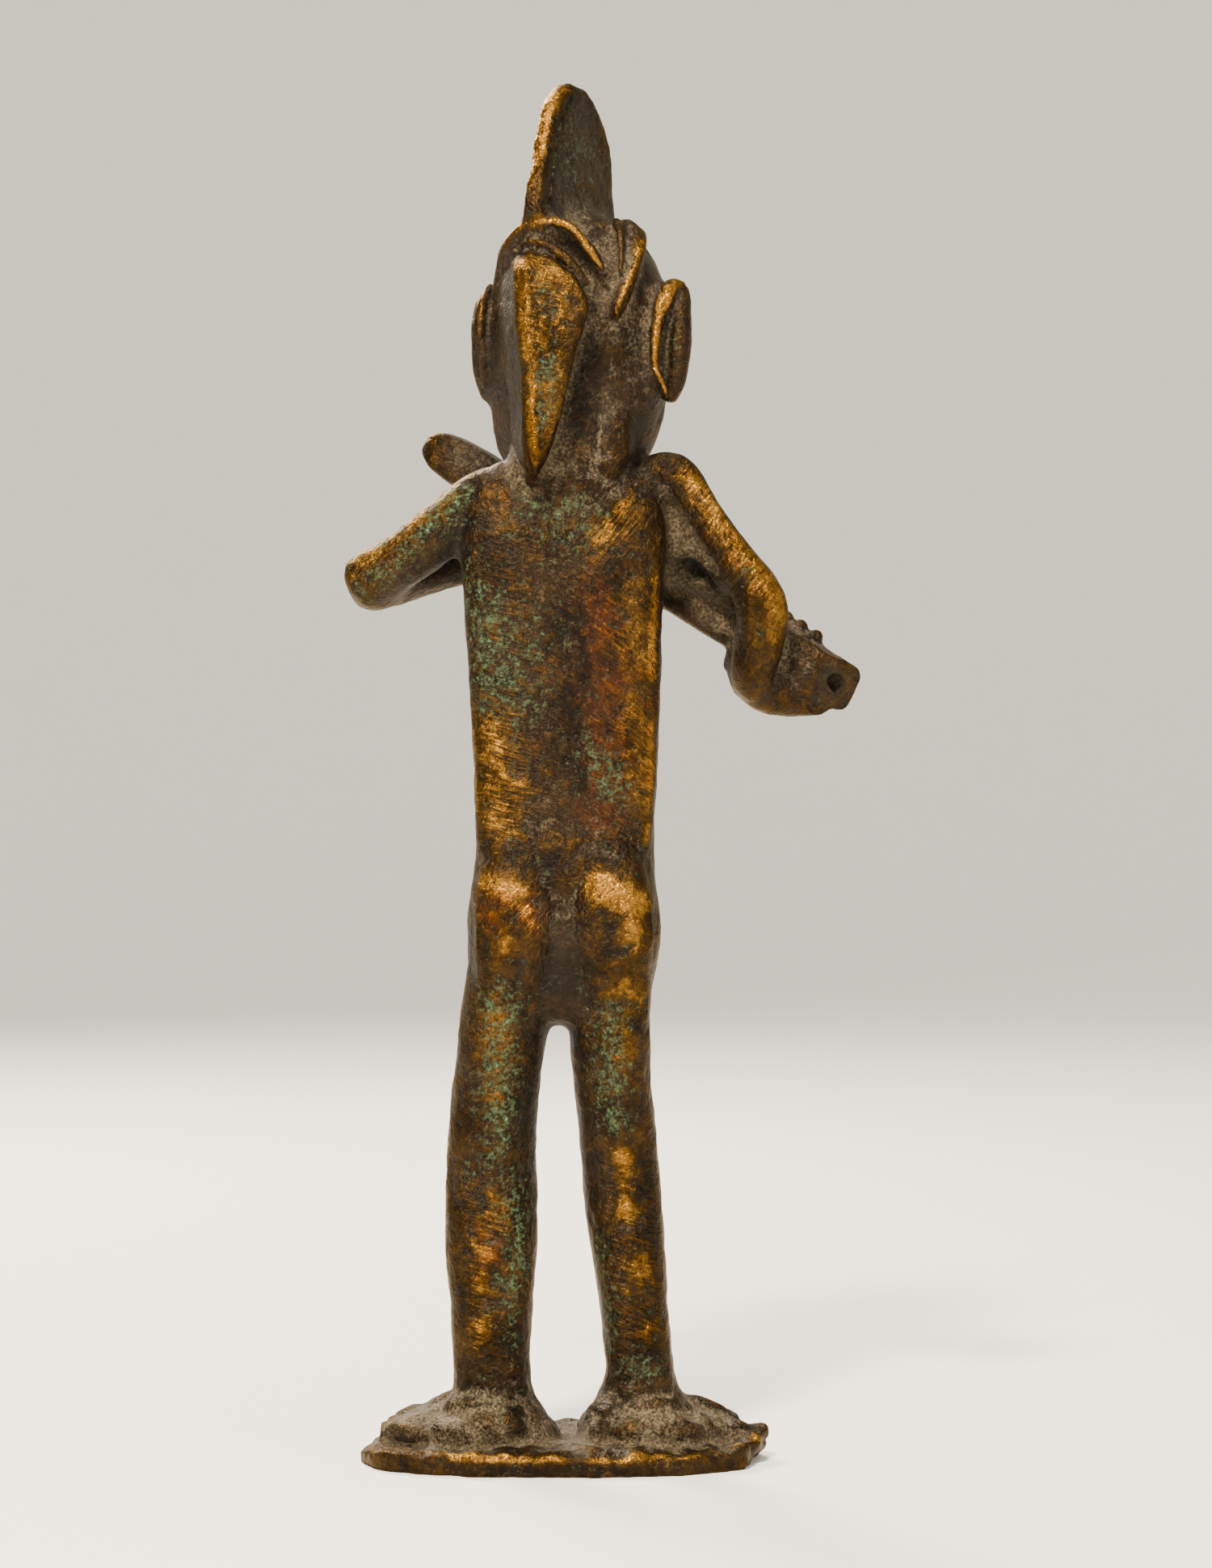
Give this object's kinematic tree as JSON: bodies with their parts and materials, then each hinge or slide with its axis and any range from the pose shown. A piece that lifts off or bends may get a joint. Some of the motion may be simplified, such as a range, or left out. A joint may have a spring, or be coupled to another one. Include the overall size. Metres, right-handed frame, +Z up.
{
  "type": "standing bronze figure",
  "caption": "Small cast bronze of a standing figure that holds a long pipe across its chest, with a tall crest, a stiff plait and a thin foot plate that it stands on.",
  "frame": {"origin": "on the flat underside of the foot plate, below the middle of the body", "axes": "+Z up along the body, -Y the way the figure faces, +X the figure's left"},
  "size_m": [0.0648, 0.0328, 0.1701],
  "materials": {
    "bronze": "old cast bronze, dark brown with golden rubbed edges, file marks and spots of green"
  },
  "bodies": {
    "root": {"bronze_figure": "bronze"}
  },
  "joints": []
}
